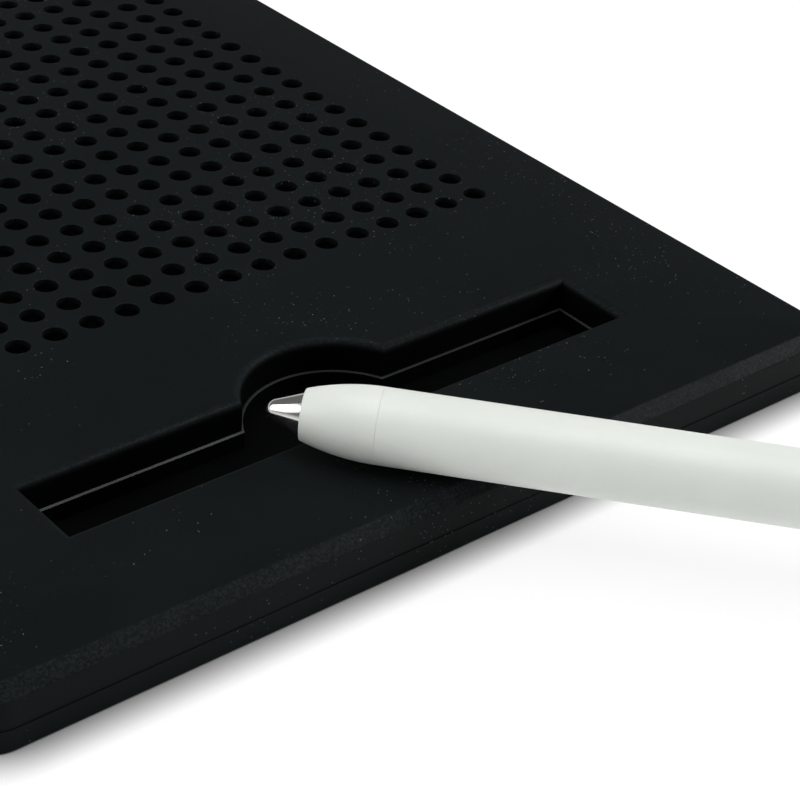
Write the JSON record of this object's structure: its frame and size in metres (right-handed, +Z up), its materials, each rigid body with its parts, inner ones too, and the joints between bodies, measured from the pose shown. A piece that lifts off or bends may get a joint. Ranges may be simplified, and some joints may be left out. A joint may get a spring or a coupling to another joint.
{
  "type": "magnetic drawing board",
  "caption": "Flat black board with a grid of captive steel beads, a long stylus slot with a finger notch, and a white magnetic stylus lying across it.",
  "frame": {"origin": "centre of the case's flat back face, which lies on the table", "axes": "+Z up out of the drawing face; +Y along the case's long side, away from the stylus slot; +X to the right as the user sees it"},
  "size_m": [0.157, 0.2629, 0.0213],
  "materials": {
    "case_plastic": "fine satin texture",
    "inner_plastic": "plain moulded",
    "liner": "matt sheet",
    "screw_steel": "dark plated",
    "bead_steel": "polished",
    "stylus_plastic": "satin",
    "tip_plating": "polished",
    "magnet_plating": "nickel plated"
  },
  "bodies": {
    "case": {"top_cover": "case_plastic", "back_cover": "case_plastic", "cell_plate": "inner_plastic", "base_sheet": "liner", "case_screws": "screw_steel"},
    "stylus": {"stylus_tip": "tip_plating", "stylus_nose": "stylus_plastic", "stylus_magnet": "magnet_plating", "stylus_barrel": "stylus_plastic", "stylus_end_cap": "stylus_plastic"},
    "bead_row_01": {"bead_row_01": "bead_steel"},
    "bead_row_02": {"bead_row_02": "bead_steel"},
    "bead_row_03": {"bead_row_03": "bead_steel"},
    "bead_row_04": {"bead_row_04": "bead_steel"},
    "bead_row_05": {"bead_row_05": "bead_steel"},
    "bead_row_06": {"bead_row_06": "bead_steel"},
    "bead_row_07": {"bead_row_07": "bead_steel"},
    "bead_row_08": {"bead_row_08": "bead_steel"},
    "bead_row_09": {"bead_row_09": "bead_steel"},
    "bead_row_10": {"bead_row_10": "bead_steel"},
    "bead_row_11": {"bead_row_11": "bead_steel"},
    "bead_row_12": {"bead_row_12": "bead_steel"},
    "bead_row_13": {"bead_row_13": "bead_steel"},
    "bead_row_14": {"bead_row_14": "bead_steel"},
    "bead_row_15": {"bead_row_15": "bead_steel"},
    "bead_row_16": {"bead_row_16": "bead_steel"},
    "bead_row_17": {"bead_row_17": "bead_steel"},
    "bead_row_18": {"bead_row_18": "bead_steel"},
    "bead_row_19": {"bead_row_19": "bead_steel"},
    "bead_row_20": {"bead_row_20": "bead_steel"}
  },
  "joints": [
    {"name": "stylus_lift", "type": "slide", "parent": "case", "child": "stylus", "axis": [0, 0, 1], "range_m": [0, 0.06]},
    {"name": "bead_slide_01", "type": "slide", "parent": "case", "child": "bead_row_01", "axis": [0, 0, 1], "range_m": [0, 0.0026]},
    {"name": "bead_slide_02", "type": "slide", "parent": "case", "child": "bead_row_02", "axis": [0, 0, 1], "range_m": [0, 0.0026]},
    {"name": "bead_slide_03", "type": "slide", "parent": "case", "child": "bead_row_03", "axis": [0, 0, 1], "range_m": [0, 0.0026]},
    {"name": "bead_slide_04", "type": "slide", "parent": "case", "child": "bead_row_04", "axis": [0, 0, 1], "range_m": [0, 0.0026]},
    {"name": "bead_slide_05", "type": "slide", "parent": "case", "child": "bead_row_05", "axis": [0, 0, 1], "range_m": [0, 0.0026]},
    {"name": "bead_slide_06", "type": "slide", "parent": "case", "child": "bead_row_06", "axis": [0, 0, 1], "range_m": [0, 0.0026]},
    {"name": "bead_slide_07", "type": "slide", "parent": "case", "child": "bead_row_07", "axis": [0, 0, 1], "range_m": [0, 0.0026]},
    {"name": "bead_slide_08", "type": "slide", "parent": "case", "child": "bead_row_08", "axis": [0, 0, 1], "range_m": [0, 0.0026]},
    {"name": "bead_slide_09", "type": "slide", "parent": "case", "child": "bead_row_09", "axis": [0, 0, 1], "range_m": [0, 0.0026]},
    {"name": "bead_slide_10", "type": "slide", "parent": "case", "child": "bead_row_10", "axis": [0, 0, 1], "range_m": [0, 0.0026]},
    {"name": "bead_slide_11", "type": "slide", "parent": "case", "child": "bead_row_11", "axis": [0, 0, 1], "range_m": [0, 0.0026]},
    {"name": "bead_slide_12", "type": "slide", "parent": "case", "child": "bead_row_12", "axis": [0, 0, 1], "range_m": [0, 0.0026]},
    {"name": "bead_slide_13", "type": "slide", "parent": "case", "child": "bead_row_13", "axis": [0, 0, 1], "range_m": [0, 0.0026]},
    {"name": "bead_slide_14", "type": "slide", "parent": "case", "child": "bead_row_14", "axis": [0, 0, 1], "range_m": [0, 0.0026]},
    {"name": "bead_slide_15", "type": "slide", "parent": "case", "child": "bead_row_15", "axis": [0, 0, 1], "range_m": [0, 0.0026]},
    {"name": "bead_slide_16", "type": "slide", "parent": "case", "child": "bead_row_16", "axis": [0, 0, 1], "range_m": [0, 0.0026]},
    {"name": "bead_slide_17", "type": "slide", "parent": "case", "child": "bead_row_17", "axis": [0, 0, 1], "range_m": [0, 0.0026]},
    {"name": "bead_slide_18", "type": "slide", "parent": "case", "child": "bead_row_18", "axis": [0, 0, 1], "range_m": [0, 0.0026]},
    {"name": "bead_slide_19", "type": "slide", "parent": "case", "child": "bead_row_19", "axis": [0, 0, 1], "range_m": [0, 0.0026]},
    {"name": "bead_slide_20", "type": "slide", "parent": "case", "child": "bead_row_20", "axis": [0, 0, 1], "range_m": [0, 0.0026]}
  ]
}
